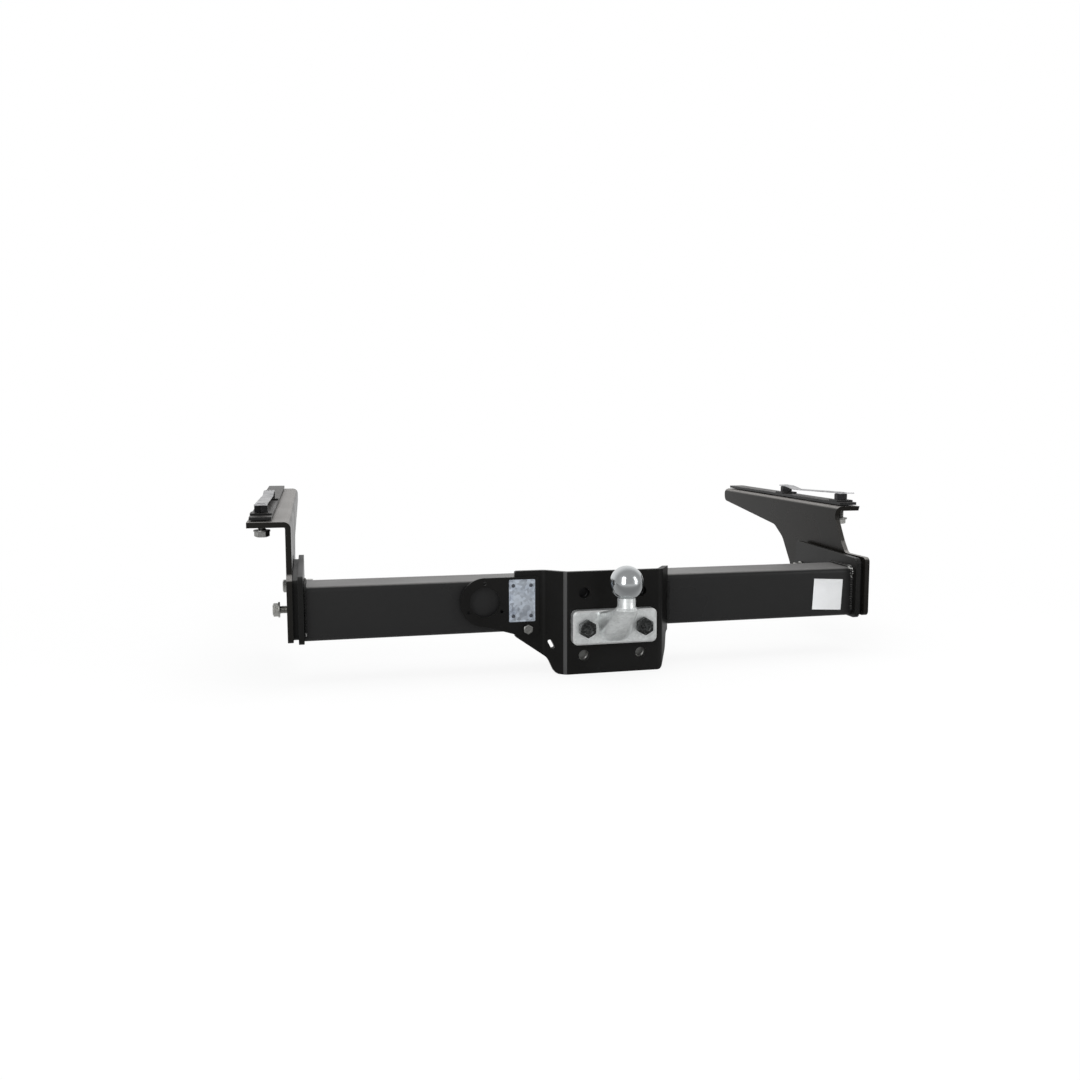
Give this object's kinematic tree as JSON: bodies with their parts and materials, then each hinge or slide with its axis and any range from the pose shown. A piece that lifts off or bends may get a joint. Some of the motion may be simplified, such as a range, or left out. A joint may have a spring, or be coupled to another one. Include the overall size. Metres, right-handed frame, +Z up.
{
  "type": "fixed towbar",
  "caption": "Vehicle towbar: square crossbar with a pressed hitch bracket and flanged tow ball, socket plate, and bent side arms that bolt to the chassis rails.",
  "frame": {"origin": "centre of the tow ball", "axes": "+X along the crossbar to the right seen from behind the vehicle, +Y to the front of the vehicle, +Z up"},
  "size_m": [1.01, 0.913, 0.2621],
  "materials": {
    "black_paint": "satin black powder coat",
    "bar_coat": "dark satin coat",
    "dark_bolt": "dark zinc",
    "zinc_steel": "bright zinc plate",
    "ball_chrome": "bright zinc on a forging, ball polished",
    "plate_aluminium": "satin sheet",
    "strap_steel": "thin galvanised strip",
    "label_film": "matt white film"
  },
  "bodies": {
    "root": {"crossbar_tube": "black_paint", "right_end_plate": "black_paint", "left_end_plate": "black_paint", "end_plate_welds": "black_paint", "right_side_arm": "black_paint", "left_side_arm": "black_paint", "hitch_bracket": "black_paint", "bracket_welds": "black_paint", "bracket_nuts": "black_paint", "tow_ball": "ball_chrome", "ball_bolts": "dark_bolt", "socket_plate": "black_paint", "socket_bolt": "zinc_steel", "type_plate": "plate_aluminium", "type_plate_rivets": "plate_aluminium", "label": "label_film", "right_packing_plate": "black_paint", "left_packing_plate": "black_paint", "right_arm_bolts": "zinc_steel", "right_arm_washers": "zinc_steel", "right_arm_nuts": "zinc_steel", "left_arm_bolts": "zinc_steel", "left_arm_washers": "zinc_steel", "left_arm_nuts": "zinc_steel", "right_rail_bolts": "zinc_steel", "right_rail_washers": "zinc_steel", "right_rail_nuts": "zinc_steel", "right_nut_bar": "bar_coat", "right_nut_plates": "bar_coat", "right_nut_strap": "strap_steel", "left_rail_bolts": "zinc_steel", "left_rail_washers": "zinc_steel", "left_rail_nuts": "zinc_steel", "left_nut_bar": "bar_coat", "left_nut_plates": "bar_coat", "left_nut_strap": "strap_steel"}
  },
  "joints": []
}
